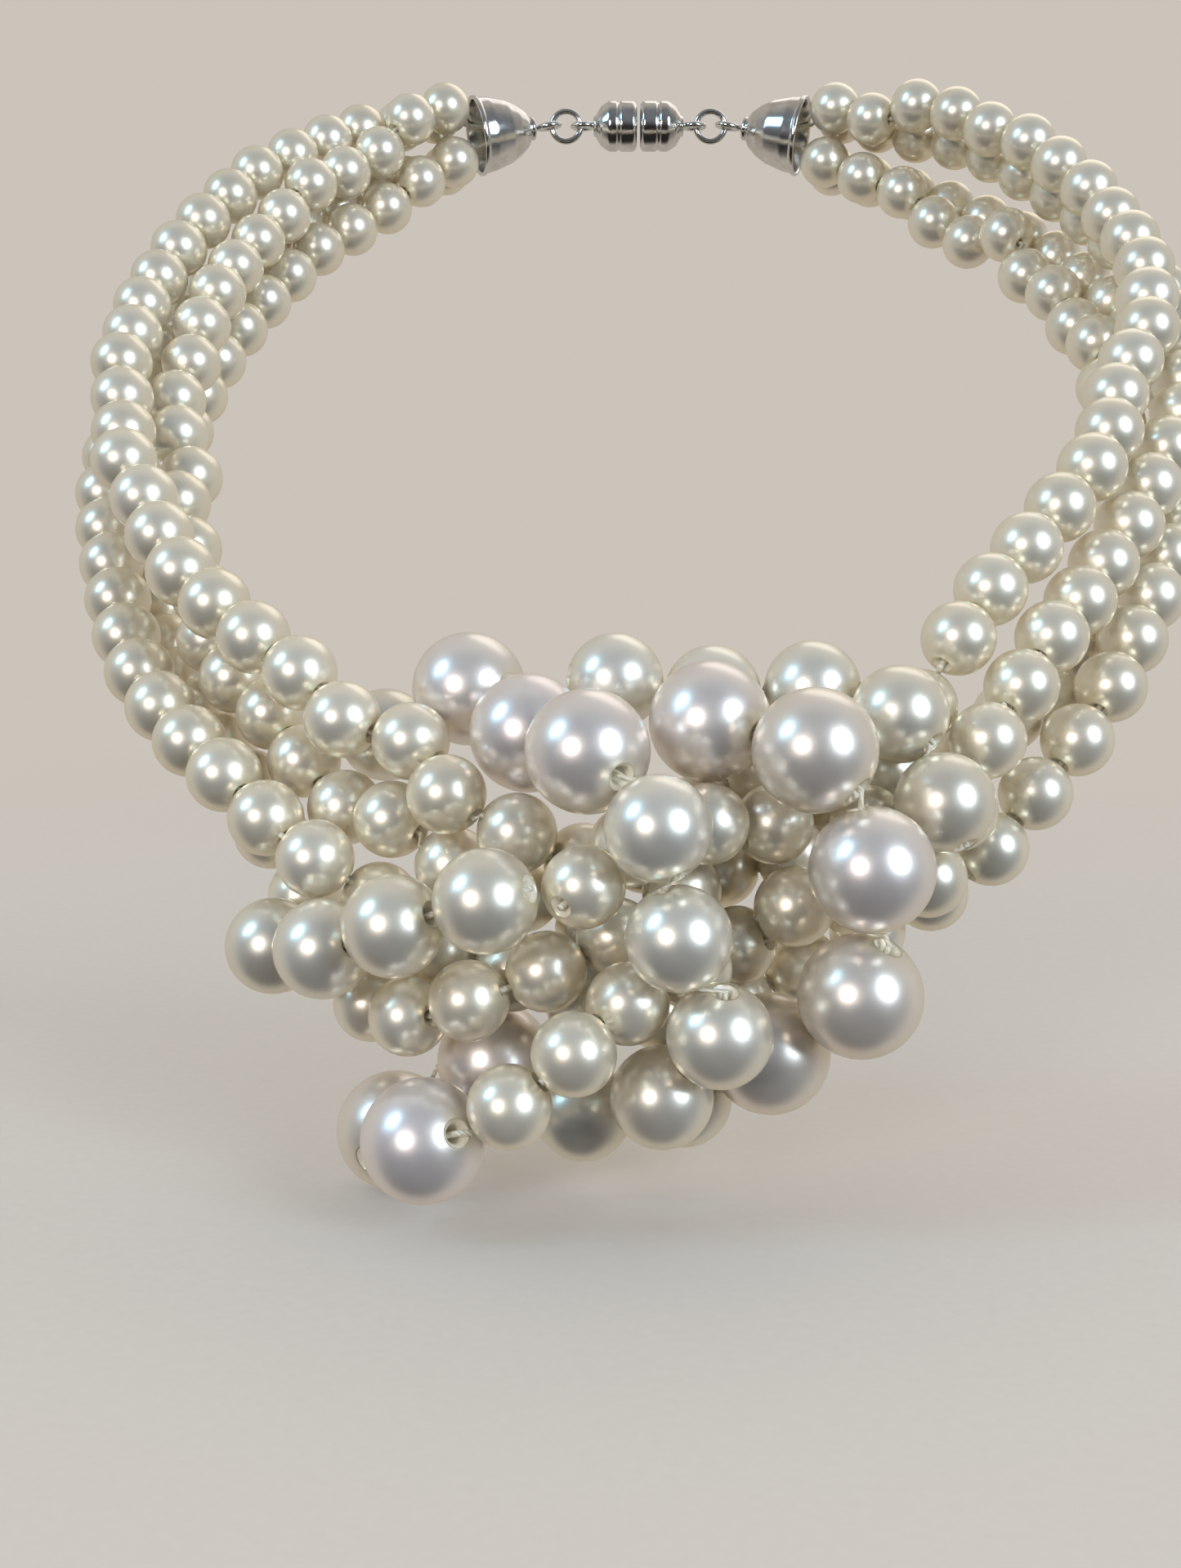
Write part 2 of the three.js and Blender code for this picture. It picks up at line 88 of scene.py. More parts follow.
def make_camera():
    """The camera at the photograph's viewing angle."""
    data = bpy.data.cameras.new("camera")
    data.sensor_fit = "AUTO"
    data.sensor_width = CAMERA_FILM
    data.lens = CAMERA_LENS
    data.clip_start = 0.01
    data.clip_end = 50
    camera = bpy.data.objects.new("camera", data)
    camera.location = CAMERA_PLACE
    camera.rotation_euler = (math.radians(90 - CAMERA_PITCH), 0, 0)
    bpy.context.scene.collection.objects.link(camera)
    bpy.context.scene.camera = camera


make_camera()

# ---------------------------------------------------------------- reading the CAD nodes

WELD = 2e-6                    # points of one CAD corner lie closer than this
NARROW = 1 * MM                # a cord ring's points are closer together than this


def welded(node):
    """A CAD node as a bmesh with its shared points joined."""
    bm = bmesh.new()
    bm.from_mesh(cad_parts[node].data)
    bmesh.ops.remove_doubles(bm, verts=bm.verts, dist=WELD)
    return bm


def node_points(node):
    """The corners of a CAD node, each once."""
    bm = welded(node)
    points = np.array([v.co for v in bm.verts])
    bm.free()
    return points


def middle(points):
    return Vector(np.mean(points, axis=0))


def grouped(verts, joined):
    """Connected groups of verts, through the edges that joined accepts."""
    groups, left = [], set(verts)
    while left:
        queue = [left.pop()]
        group = set(queue)
        while queue:
            vert = queue.pop()
            for edge in vert.link_edges:
                other = edge.other_vert(vert)
                if other in left and joined(edge):
                    left.discard(other)
                    group.add(other)
                    queue.append(other)
        groups.append(group)
    return groups


def chain_of(node):
    """Stops along a beaded cord, in order: [(middle, True for a pearl or False for a ring)]."""
    bm = welded(node)
    narrow = {v for v in bm.verts if min(e.calc_length() for e in v.link_edges) < NARROW}
    groups = [(g, True) for g in grouped(set(bm.verts) - narrow, lambda edge: True)]
    groups += [(g, False) for g in grouped(narrow, lambda edge: edge.calc_length() < NARROW)]
    owner = {vert: i for i, (group, _) in enumerate(groups) for vert in group}
    beside = {i: set() for i in range(len(groups))}
    for edge in bm.edges:
        a, b = (owner[vert] for vert in edge.verts)
        if a != b:
            beside[a].add(b)
            beside[b].add(a)
    here = next(i for i in beside if len(beside[i]) == 1)
    order, before = [], None
    while here is not None:
        order.append(here)
        onward = [i for i in beside[here] if i != before]
        here, before = (onward[0] if onward else None), here
    stops = [(middle([v.co for v in groups[i][0]]), groups[i][1]) for i in order]
    bm.free()
    return stops


def along_strand(stops, part):
    """The stops in order from the left cone, through the knot, to the right cone."""
    first, last = stops[0][0], stops[-1][0]
    turned_round = {
        "left": first.y < last.y,
        "knot": first.x > last.x,
        "right": first.y > last.y,
    }
    return stops[::-1] if turned_round[part] else stops


def left_first(stops):
    """The stops of a tie in order from its end nearer -X."""
    return stops if stops[0][0].x < stops[-1][0].x else stops[::-1]


def beads_on(stops):
    """(middle, way) of each pearl on a beaded cord."""
    beads = []
    for i, (place, pearl) in enumerate(stops):
        if pearl:
            back = (place - stops[i - 1][0]).normalized()
            on = (stops[i + 1][0] - place).normalized()
            beads.append((place, (back + on).normalized()))
    return beads


def hole_way(points):
    """The way of a drilled pearl's hole: the one way in which its corners spread differently."""
    spread, ways = np.linalg.eigh(np.cov(points.T))
    odd = 0 if spread[1] - spread[0] > spread[2] - spread[1] else 2
    return Vector(ways[:, odd])


def beads_of_loop(name, count):
    """(middle, way) of each pearl of a loop, from its CAD nodes, in order."""
    solids = [node_points(f"{name}_pearl_{i + 1}") for i in range(count)]
    places = [middle(points) for points in solids]
    beads = []
    for i, points in enumerate(solids):
        way = hole_way(points)
        along = places[min(i + 1, count - 1)] - places[max(i - 1, 0)]
        beads.append((places[i], way if way.dot(along) > 0 else -way))
    return beads

# ---------------------------------------------------------------- node materials

PEARL_CREAM = (0.84, 0.76, 0.6)                # what a pearl's own shade goes towards
HOLE_CREAM = (0.8, 0.72, 0.52)                 # the ring round a drilled hole
HOLE_SHARE = 0.55                              # how much of it shows at the lip
EDGE_CREAM = (1, 0.94, 0.8)                    # tint of reflections towards a pearl's edge
BORE_COLOURS = (0.8, 0.72, 0.56), (0.9, 0.85, 0.72)
CORD_AND_GROOVE_SHADE = (0.62, 0.55, 0.4), (0.84, 0.79, 0.66)          # painted shade between the strands, and the cord's own cream on them
CORD_TWIST = 900                               # wave scale of the cord's twist, per metre


def new_material(name):
    """An empty material with a Principled surface: (material, node tree, surface node)."""
    material = bpy.data.materials.new(name)
    material.use_nodes = True
    tree = material.node_tree
    tree.nodes.clear()
    output = tree.nodes.new("ShaderNodeOutputMaterial")
    surface = tree.nodes.new("ShaderNodeBsdfPrincipled")
    tree.links.new(surface.outputs["BSDF"], output.inputs["Surface"])
    return material, tree, surface


def noise(tree, size, detail=3, roughness=0.5, stretch=None):
    """Noise with features about size metres across, from 0 to 1."""
    place = tree.nodes.new("ShaderNodeTexCoord").outputs["Object"]
    if stretch:
        scaled = tree.nodes.new("ShaderNodeMapping")
        scaled.inputs["Scale"].default_value = stretch
        tree.links.new(place, scaled.inputs["Vector"])
        place = scaled.outputs["Vector"]
    node = tree.nodes.new("ShaderNodeTexNoise")
    node.inputs["Scale"].default_value = 1 / size
    node.inputs["Detail"].default_value = detail
    node.inputs["Roughness"].default_value = roughness
    tree.links.new(place, node.inputs["Vector"])
    return node.outputs["Fac"]


def ranged(tree, value, low, high, to_low, to_high):
    """value from low..high, taken to to_low..to_high and kept inside it."""
    node = tree.nodes.new("ShaderNodeMapRange")
    limits = {"From Min": low, "From Max": high, "To Min": to_low, "To Max": to_high}
    for socket, number in limits.items():
        node.inputs[socket].default_value = number
    tree.links.new(value, node.inputs["Value"])
    return node.outputs["Result"]


def mixed(tree, factor, a, b):
    """The colour between a and b. Each is a colour or a socket."""
    node = tree.nodes.new("ShaderNodeMix")
    node.data_type = "RGBA"
    tree.links.new(factor, node.inputs["Factor"])
    for socket, value in ((node.inputs[6], a), (node.inputs[7], b)):
        if isinstance(value, tuple):
            socket.default_value = (*value, 1)
        else:
            tree.links.new(value, socket)
    return node.outputs[2]


def painted(tree, name):
    """A number that the mesh holds at each of its points."""
    node = tree.nodes.new("ShaderNodeAttribute")
    node.attribute_name = name
    return node.outputs["Fac"]


def bumped(tree, surface, height, depth):
    """Adds height, 0 to 1 over depth metres, to the surface's normal."""
    node = tree.nodes.new("ShaderNodeBump")
    node.inputs["Strength"].default_value = 1
    node.inputs["Distance"].default_value = depth
    tree.links.new(height, node.inputs["Height"])
    tree.links.new(node.outputs["Normal"], surface.inputs["Normal"])


def nacre(name, body, overtone, metal):
    """Pearl essence under clear lacquer: clouded colour, a warmer ring at each hole, fine ripples."""
    material, tree, surface = new_material(name)
    cloud = ranged(tree, noise(tree, 3.5 * MM, 4), 0.35, 0.65, 0, 1)
    colour = mixed(tree, cloud, body, overtone)
    tinted = mixed(tree, painted(tree, "pearl_shade"), colour, PEARL_CREAM)
    stained = ranged(tree, painted(tree, "near_hole"), 0, 1, 0, HOLE_SHARE)
    tree.links.new(mixed(tree, stained, tinted, HOLE_CREAM), surface.inputs["Base Color"])
    satin = ranged(tree, noise(tree, 2 * MM, 3), 0.3, 0.7, 0.3, 0.35)
    tree.links.new(satin, surface.inputs["Roughness"])
    surface.inputs["Metallic"].default_value = metal
    surface.inputs["Specular IOR Level"].default_value = 0.6
    surface.inputs["Coat Weight"].default_value = 0.35
    surface.inputs["Coat Roughness"].default_value = 0.06
    surface.inputs["Coat IOR"].default_value = 1.5
    surface.inputs["Specular Tint"].default_value = (*EDGE_CREAM, 1)
    bumped(tree, surface, noise(tree, 1.6 * MM, 1), 0.004 * MM)
    return material


def bore_plastic():
    """The bare cream plastic inside a pearl's hole."""
    material, tree, surface = new_material("pearl_bore")
    stain = ranged(tree, noise(tree, 0.6 * MM, 4), 0.3, 0.7, 0, 1)
    tree.links.new(mixed(tree, stain, *BORE_COLOURS), surface.inputs["Base Color"])
    tree.links.new(ranged(tree, stain, 0, 1, 0.3, 0.55), surface.inputs["Roughness"])
    bumped(tree, surface, noise(tree, 0.15 * MM, 3), 0.01 * MM)
    return material


def cord_nylon():
    """Twisted cream nylon, with painted shade in the grooves between its strands."""
    material, tree, surface = new_material("nylon_cord")
    place = tree.nodes.new("ShaderNodeTexCoord").outputs["Object"]
    twist = tree.nodes.new("ShaderNodeTexWave")
    twist.bands_direction = "DIAGONAL"
    twist.inputs["Scale"].default_value = CORD_TWIST
    twist.inputs["Distortion"].default_value = 1.5
    tree.links.new(place, twist.inputs["Vector"])
    plies_and_groove_shade = twist.outputs["Fac"]
    # the darker colour in the twist's grooves is painted shade; the ridges keep the cord's own cream
    tree.links.new(mixed(tree, plies_and_groove_shade, *CORD_AND_GROOVE_SHADE), surface.inputs["Base Color"])
    tree.links.new(ranged(tree, plies_and_groove_shade, 0, 1, 0.55, 0.38), surface.inputs["Roughness"])
    bumped(tree, surface, plies_and_groove_shade, 0.03 * MM)
    surface.inputs["Sheen Weight"].default_value = 0.3
    return material


def silver_plate(name, light, dark, low, high):
    """Polished plating with hairline scratches and a little tarnish, of roughness low to high."""
    material, tree, surface = new_material(name)
    tarnish = ranged(tree, noise(tree, 2.5 * MM, 5, 0.6), 0.35, 0.7, 0, 1)
    tree.links.new(mixed(tree, tarnish, light, dark), surface.inputs["Base Color"])
    hairlines = noise(tree, 0.25 * MM, 4, 0.6, stretch=(1, 9, 9))
    tree.links.new(ranged(tree, hairlines, 0.35, 0.7, low, high), surface.inputs["Roughness"])
    surface.inputs["Metallic"].default_value = 1
    bumped(tree, surface, hairlines, 0.004 * MM)
    return material


MATERIALS = {
    "pearl_small": nacre("nacre_small", (0.92, 0.85, 0.69), (0.88, 0.82, 0.7), 0.66),
    "pearl_medium": nacre("nacre_medium", (0.89, 0.85, 0.75), (0.85, 0.82, 0.74), 0.7),
    "pearl_large": nacre("nacre_large", (0.9, 0.84, 0.81), (0.86, 0.79, 0.79), 0.7),
    "bore": bore_plastic(),
    "thread": cord_nylon(),
    "clasp_metal": silver_plate("silver_plate", (0.82, 0.81, 0.79), (0.62, 0.6, 0.56), 0.08, 0.22),
    "magnet": silver_plate("nickel_plate", (0.55, 0.54, 0.52), (0.4, 0.39, 0.37), 0.25, 0.4),
}

# ---------------------------------------------------------------- mesh helpers

EASED_SHARE = 0.4              # the most of an edge that one rounded corner takes


def new_piece(name, verts, faces, materials):
    """A smooth-shaded object in the scene, with those materials in its slots."""
    mesh = bpy.data.meshes.new(name)
    mesh.from_pydata(verts, [], faces)
    for material in materials:
        mesh.materials.append(MATERIALS[material])
    mesh.polygons.foreach_set("use_smooth", [True] * len(mesh.polygons))
    piece = bpy.data.objects.new(name, mesh)
    bpy.context.scene.collection.objects.link(piece)
    return piece


def hand_over(piece, body, slot, *nodes):
    """piece rides on body and stands in for the CAD nodes. slot is not used."""
    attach(piece, body)
    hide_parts(*nodes)


def set_number(piece, name, values):
    """Gives each point of the mesh a number, which a material reads with painted."""
    attribute = piece.data.attributes.new(name, "FLOAT", "POINT")
    attribute.data.foreach_set("value", np.asarray(values, np.float32))


def across(way, hint=Vector((0, 0, 1))):
    """A direction square to way, near hint where it can be."""
    side = hint - way * hint.dot(way)
    if side.length < 0.1:      # way is nearly along hint
        side = Vector((1, 0, 0)) - way * way.x
    return side.normalized()


def smoothed(points, steps):
    """A Catmull-Rom line through the points, with that many steps between each two."""
    line = []
    for i in range(len(points) - 1):
        a, b = points[i], points[i + 1]
        before = points[i - 1] if i else a * 2 - b
        after = points[i + 2] if i + 2 < len(points) else b * 2 - a
        for k in range(steps):
            t = k / steps
            line.append(
                (a * 2 + (b - before) * t + (before * 2 - a * 5 + b * 4 - after) * t**2
                 + (a * 3 - before - b * 3 + after) * t**3) / 2
            )
    return line + [points[-1]]


def tube(name, points, radius, material, sides=10, closed=False):
    """A round wire along the points."""
    verts, faces = [], []
    count = len(points)
    side = None
    for i, point in enumerate(points):
        if closed:
            before, after = points[i - 1], points[(i + 1) % count]
        else:
            before, after = points[max(i - 1, 0)], points[min(i + 1, count - 1)]
        way = (after - before).normalized()
        side = across(way, side or Vector((0, 0, 1)))
        up = way.cross(side)
        for k in range(sides):
            turn = 2 * math.pi * k / sides
            verts.append(point + side * radius * math.cos(turn) + up * radius * math.sin(turn))
    for i in range(count if closed else count - 1):
        for k in range(sides):
            a, b = i * sides, (i + 1) % count * sides
            faces.append((a + k, a + (k + 1) % sides, b + (k + 1) % sides, b + k))
    if not closed:
        faces.append(tuple(range(sides))[::-1])
        faces.append(tuple(range((count - 1) * sides, count * sides)))
    return new_piece(name, verts, faces, [material])


def turned(name, outline, place, material, segments=64):
    """A shape turned about the x axis of place, a 4x4 matrix.

    outline holds (along, out) pairs in millimetres. It starts and ends on the axis, or closes on
    itself.
    """
    verts, faces, rings = [], [], []
    for along, out in outline:
        first = len(verts)
        turns = segments if out > 0 else 1
        for k in range(turns):
            turn = 2 * math.pi * k / segments
            local = Vector((along, out * math.cos(turn), out * math.sin(turn))) * MM
            verts.append(place @ local)
        rings.append((first, turns))
    pairs = list(zip(rings, rings[1:]))
    if outline[0][1] > 0:
        pairs.append((rings[-1], rings[0]))
    for (a, a_turns), (b, b_turns) in pairs:
        for k in range(segments):
            on = (k + 1) % segments
            corners = [a + k % a_turns, a + on % a_turns, b + on % b_turns, b + k % b_turns]
            faces.append(tuple(dict.fromkeys(corners)))
    return new_piece(name, verts, faces, [material])


def eased(outline, radius, steps=3):
    """The outline with its corners rounded, up to radius, in millimetres."""
    rounded = []
    closed = outline[0][1] > 0
    count = len(outline)
    for i, corner in enumerate(outline):
        if not closed and i in (0, count - 1):
            rounded.append(corner)
            continue
        corner = Vector(corner)
        back = Vector(outline[(i - 1) % count]) - corner
        on = Vector(outline[(i + 1) % count]) - corner
        reach = min(radius, back.length * EASED_SHARE, on.length * EASED_SHARE)
        a, b = corner + back.normalized() * reach, corner + on.normalized() * reach
        for k in range(steps + 1):
            t = k / steps
            rounded.append(tuple(a * (1 - t) ** 2 + corner * 2 * t * (1 - t) + b * t**2))
    return rounded

# ---------------------------------------------------------------- pearls

SMALL_R = 4 * MM
LARGE_FROM = 5.5 * MM          # a loop's pearl is a large one from this radius
HOLES = {                      # radius of the countersink and of the bore, by pearl
    "pearl_small": (1.15 * MM, 0.6 * MM),
    "pearl_medium": (1.3 * MM, 0.8 * MM),
    "pearl_large": (1.45 * MM, 0.9 * MM),
}
FACETS = {                     # steps round a pearl and from hole to hole
    "pearl_small": (36, 20),
    "pearl_medium": (48, 26),
    "pearl_large": (52, 28),
}
SINK = 0.5 * MM                # depth of a countersink
BORE_ROWS = 2                  # rows of a pearl's mesh in each mouth that are bare plastic
LIP_EASE = 1.06                # where the sphere starts, as a share of the countersink's angle
HOLE_STAIN = 0.16              # how far the warm ring round a hole spreads, in radians
OUT_OF_ROUND = 0.012           # share by which a pearl may be short in one way
SHADE_RANGE = 0.5              # how far one pearl's tint may go towards PEARL_CREAM
SEED = 8
rng = np.random.default_rng(SEED)


def bead_outline(radius, slot):
    """(along, out, near_hole) from one mouth of the bore, over the pearl, to the other."""
    lip, bore = HOLES[slot]
    start = math.asin(lip / radius)
    rim = radius * math.cos(start)
    mouth = [                  # up the countersink, from the bore to the lip
        (-(rim - SINK), bore, 1),
        (-(rim - 0.5 * SINK), bore + 0.4 * (lip - bore), 1),
        (-(rim - 0.12 * SINK), bore + 0.86 * (lip - bore), 1),
        (-(rim + 0.02 * MM), lip * 0.97, 1),
    ]
    steps = FACETS[slot][1]
    first = LIP_EASE * start
    arc = []
    for i in range(steps + 1):
        angle = first + (math.pi - 2 * first) * i / steps
        near = math.exp(-(min(angle, math.pi - angle) - start) / HOLE_STAIN)
        arc.append((-radius * math.cos(angle), radius * math.sin(angle), near))
    return mouth + arc + [(-along, out, near) for along, out, near in reversed(mouth)]


def beads(name, places, radius, slot):
    """Drilled pearls at (middle, way) places as one piece."""
    outline = np.array(bead_outline(radius, slot))
    around = FACETS[slot][0]
    rows = len(outline)
    turn = 2 * np.pi * np.arange(around) / around
    x = outline[:, None, 1] * np.cos(turn)
    y = outline[:, None, 1] * np.sin(turn)
    z = np.broadcast_to(outline[:, None, 0], x.shape)
    bead = np.stack([x, y, z], axis=-1).reshape(-1, 3)
    row, column = np.meshgrid(np.arange(rows), np.arange(around), indexing="ij")
    next_row, next_column = (row + 1) % rows, (column + 1) % around
    quads = np.stack(
        [row * around + column, row * around + next_column,
         next_row * around + next_column, next_row * around + column], axis=-1
    ).reshape(-1, 4)
    bored = (row < BORE_ROWS) | (row >= rows - BORE_ROWS - 1)
    verts, faces = [], []
    for i, (place, way) in enumerate(places):
        shape = 1 - OUT_OF_ROUND * rng.random(3)
        roll = rng.random() * 2 * np.pi
        turn_to = way.to_track_quat("Z", "Y").to_matrix() @ Matrix.Rotation(roll, 3, "Z")
        verts.append((bead * shape) @ np.array(turn_to).T + np.array(place))
        faces.append(quads + i * len(bead))
    verts, faces = np.concatenate(verts).tolist(), np.concatenate(faces).tolist()
    piece = new_piece(name, verts, faces, [slot, "bore"])
    slots = np.tile(bored.reshape(-1), len(places)).astype(np.int32)
    piece.data.polygons.foreach_set("material_index", slots)
    set_number(piece, "near_hole", np.tile(np.repeat(outline[:, 2], around), len(places)))
    set_number(piece, "pearl_shade", np.repeat(rng.random(len(places)) * SHADE_RANGE, len(bead)))
    return piece


def through(places, radius):
    """Points of a cord in at one hole of each pearl and out at the other."""
    return [place + way * reach for place, way in places for reach in (-radius, radius)]

# ---------------------------------------------------------------- strands

CORD_R = 0.3 * MM
BRIDGE_STEPS = 8


def make_strand(strand):
    """Pearls and cord of one strand's three parts, and the cords that bridge its two openings."""
    ends = {}
    for part, body in (("left", "left_side"), ("knot", "knot"), ("right", "right_side")):
        node = f"{strand}_{part}"
        stops = along_strand(chain_of(node), part)
        places = beads_on(stops)
        hand_over(beads(f"{node}_pearls", places, SMALL_R, "pearl_small"), body, "pearl_small", node)
        # Past its end pearls the cord runs on into a cone. At an opening it stops in the middle
        # of the pearl, where the bridging cord takes over.
        pearls = [i for i, (_, pearl) in enumerate(stops) if pearl]
        line = through(places, SMALL_R)
        before = [place for place, _ in stops[:pearls[0] - 1]]
        after = [place for place, _ in stops[pearls[-1] + 2:]]
        line = before + line if before else [places[0][0]] + line[1:]
        line = line + after if after else line[:-1] + [places[-1][0]]
        hand_over(tube(f"{node}_cord", line, CORD_R, "thread"), body, "thread", node)
        ends[part] = (places[0], places[-1])
    bridge(strand, "left", ends["left"][1], ends["knot"][0])
    bridge(strand, "right", ends["knot"][1], ends["right"][0])


def bridge(strand, side, first, last):
    """The cord between two pearls of different bodies, drawn where they now stand."""
    (a, a_way), (b, b_way) = first, last
    line = smoothed([a, a + a_way * SMALL_R, b - b_way * SMALL_R, b], BRIDGE_STEPS)
    cord = tube(f"{strand}_{side}_bridge", line, CORD_R, "thread")
    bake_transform(cord)


for strand in STRANDS:
    make_strand(strand)

# ---------------------------------------------------------------- loops and ties

tie_places = {}
for tie in TIES:
    tie_places[tie] = beads_on(left_first(chain_of(tie)))
    pearls = beads(f"{tie}_pearls", tie_places[tie], SMALL_R, "pearl_small")
    hand_over(pearls, "knot", "pearl_small", tie)
    cord = tube(f"{tie}_cord", through(tie_places[tie], SMALL_R), CORD_R, "thread")
    hand_over(cord, "knot", "thread", tie)


def make_loop(name, count):
    """The large pearls of one loop, each its own piece, and their cord."""
    line = []
    places = beads_of_loop(name, count)
    next_place, next_way = tie_places["tie_lower"][0]
    if name == "rim":          # its cord runs on to the lower tie, so its last hole turns that way
        place, way = places[-1]
        places[-1] = (place, (way + (next_place - place).normalized()).normalized())
    for i, (place, way) in enumerate(places):
        node = f"{name}_pearl_{i + 1}"
        radius = (Vector(node_points(node)[0]) - place).length
        slot = "pearl_large" if radius > LARGE_FROM else "pearl_medium"
        radius = round(radius / MM) * MM
        hand_over(beads(f"{name}_bead_{i + 1}", [(place, way)], radius, slot), "knot", slot, node)
        line += [place - way * radius, place + way * radius]
    if name == "rim":
        line.append(next_place - next_way * SMALL_R)
    hand_over(tube(f"{name}_cord", line, CORD_R, "thread"), "knot", "thread", f"{name}_thread")


for name, count in LOOPS.items():
    make_loop(name, count)

# ---------------------------------------------------------------- clasp, rings and end cones

# Lengths in millimetres. A clasp half is measured from the plane where the two halves meet.
LOOP_R, WIRE_R = 1.7, 0.45     # wire loops on the clasp and the eye pin
RING_R, RING_WIRE_R = 2.4, 0.5
CLASP_L, CLASP_R = 7.5, 4
CLASP_FACE = 0.3
GROOVE_R = 3.78
POCKET_R, POCKET_BACK = 2.9, 2.6               # the hollow in the face that holds the magnet
MAGNET_R, MAGNET_BACK = 2.6, 2.3
STOP_R = 1.3                   # the eye pin's head inside its cone
CRIMP_R, CRIMP_BORE = 2.2, 0.75
TIP_FROM_EYE = LOOP_R + 1      # from the middle of the eye pin's loop to the cone's tip
RING_CUT = 4                   # degrees of the saw cut in a jump ring or an eye pin's loop
RING_STEPS = 56


def frame_at(origin, x_way):
    """A 4x4 matrix at origin, with its x axis along x_way and its y axis level."""
    x_way = x_way.normalized()
    y_way = Vector((0, 0, 1)).cross(x_way).normalized()
    turn = Matrix((x_way, y_way, x_way.cross(y_way))).transposed()
    return Matrix.Translation(origin) @ turn.to_4x4()


def wire_ring(name, radius, wire, place, flat, cut=0):
    """A ring of round wire in place's xy plane, or its xz plane, in millimetres."""
    line = []
    for k in range(RING_STEPS + bool(cut)):
        turn = math.radians(cut / 2 + (360 - cut) * k / RING_STEPS)
        a, b = radius * math.cos(turn) * MM, radius * math.sin(turn) * MM
        line.append(place @ Vector((a, b, 0) if flat else (a, 0, b)))
    return tube(name, line, wire * MM, "clasp_metal", sides=16, closed=not cut)


def make_clasp(side):
    """One clasp half with its loop, magnet and jump ring."""
    body = f"{side}_clasp"
    out = Vector((-1 if side == "left" else 1, 0, 0))
    low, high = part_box(f"clasp_half_{side}")
    centre = (low + high) / 2
    place = frame_at(Vector((0, centre.y, centre.z)), out)
    barrel = eased([
        (POCKET_BACK, 0), (POCKET_BACK, POCKET_R), (CLASP_FACE, POCKET_R),
        (CLASP_FACE, CLASP_R - 0.5), (0.8, CLASP_R), (2.9, CLASP_R), (3.1, GROOVE_R),
        (3.5, GROOVE_R), (3.7, CLASP_R), (4.9, CLASP_R), (6.3, 3.1), (7.1, 1.7),
        (CLASP_L, 1.5), (CLASP_L, 0),
    ], 0.35)
    half = turned(f"clasp_barrel_{side}", barrel, place, "clasp_metal")
    hand_over(half, body, "clasp_metal", f"clasp_half_{side}")
    eye = place @ Matrix.Translation(((CLASP_L + LOOP_R) * MM, 0, 0))
    loop = wire_ring(f"clasp_loop_{side}", LOOP_R, WIRE_R, eye, flat=True)
    hand_over(loop, body, "clasp_metal", f"clasp_half_{side}")
    disc = eased([
        (CLASP_FACE, 0), (CLASP_FACE, MAGNET_R), (MAGNET_BACK, MAGNET_R), (MAGNET_BACK, 0),
    ], 0.25)
    magnet = turned(f"magnet_disc_{side}", disc, place, "magnet")
    hand_over(magnet, body, "magnet", f"magnet_{side}")
    ring_place = Matrix.Translation(middle(node_points(f"jump_ring_{side}")))
    ring = wire_ring(f"split_ring_{side}", RING_R, RING_WIRE_R, ring_place, flat=False, cut=RING_CUT)
    hand_over(ring, body, "clasp_metal", f"jump_ring_{side}")


def make_cone(side):
    """The end cone of one side, with its eye pin and the crimp inside."""
    body = f"{side}_side"
    solid = node_points(f"end_cone_{side}")
    centre, way = middle(solid), hole_way(solid)
    if way.x * centre.x < 0:   # from the tip, which is nearer the clasp, to the mouth
        way = -way
    tip = centre + way * min((Vector(point) - centre).dot(way) for point in solid)
    place = frame_at(tip, way)
    shell = eased([
        (0, 0.95), (0, 1.75), (0.35, 1.9), (0.7, 1.75), (1.4, 2.9), (2.9, 4.1), (4.6, 5), (7.6, 5.85),
        (9.2, 6.05), (9.45, 6.35), (10, 6.35), (10.15, 6.05), (9.9, 5.7), (7.6, 5.3), (4.6, 4.4),
        (1.9, 2.5), (0.9, 0.95),
    ], 0.3)
    cone = turned(f"cone_shell_{side}", shell, place, "clasp_metal")
    hand_over(cone, body, "clasp_metal", f"end_cone_{side}")
    stem = [place @ Vector((x * MM, 0, 0)) for x in (-1.05, 0.5, 2, 4, 5.6)]
    pin = tube(f"pin_stem_{side}", stem, WIRE_R * MM, "clasp_metal", sides=14)
    hand_over(pin, body, "clasp_metal", f"eye_pin_{side}")
    stop = eased([(1.4, 0), (1.4, STOP_R), (2.2, STOP_R), (2.2, 0)], 0.2)
    head = turned(f"pin_head_{side}", stop, place, "clasp_metal", segments=32)
    hand_over(head, body, "clasp_metal", f"eye_pin_{side}")
    eye = place @ Matrix.Translation((-TIP_FROM_EYE * MM, 0, 0))
    loop = wire_ring(f"pin_loop_{side}", LOOP_R, WIRE_R, eye, flat=True, cut=RING_CUT)
    hand_over(loop, body, "clasp_metal", f"eye_pin_{side}")
    sleeve = eased([
        (2.6, CRIMP_BORE), (2.6, CRIMP_R), (3.3, 2.3), (3.9, 2.1), (4.5, 2.3), (5.2, CRIMP_R),
        (5.2, CRIMP_BORE),
    ], 0.2)
    crimp = turned(f"crimp_sleeve_{side}", sleeve, place, "clasp_metal", segments=32)
    hand_over(crimp, body, "clasp_metal", f"crimp_{side}")


for side in SIDES:
    make_clasp(side)
    make_cone(side)

# ---------------------------------------------------------------- studio

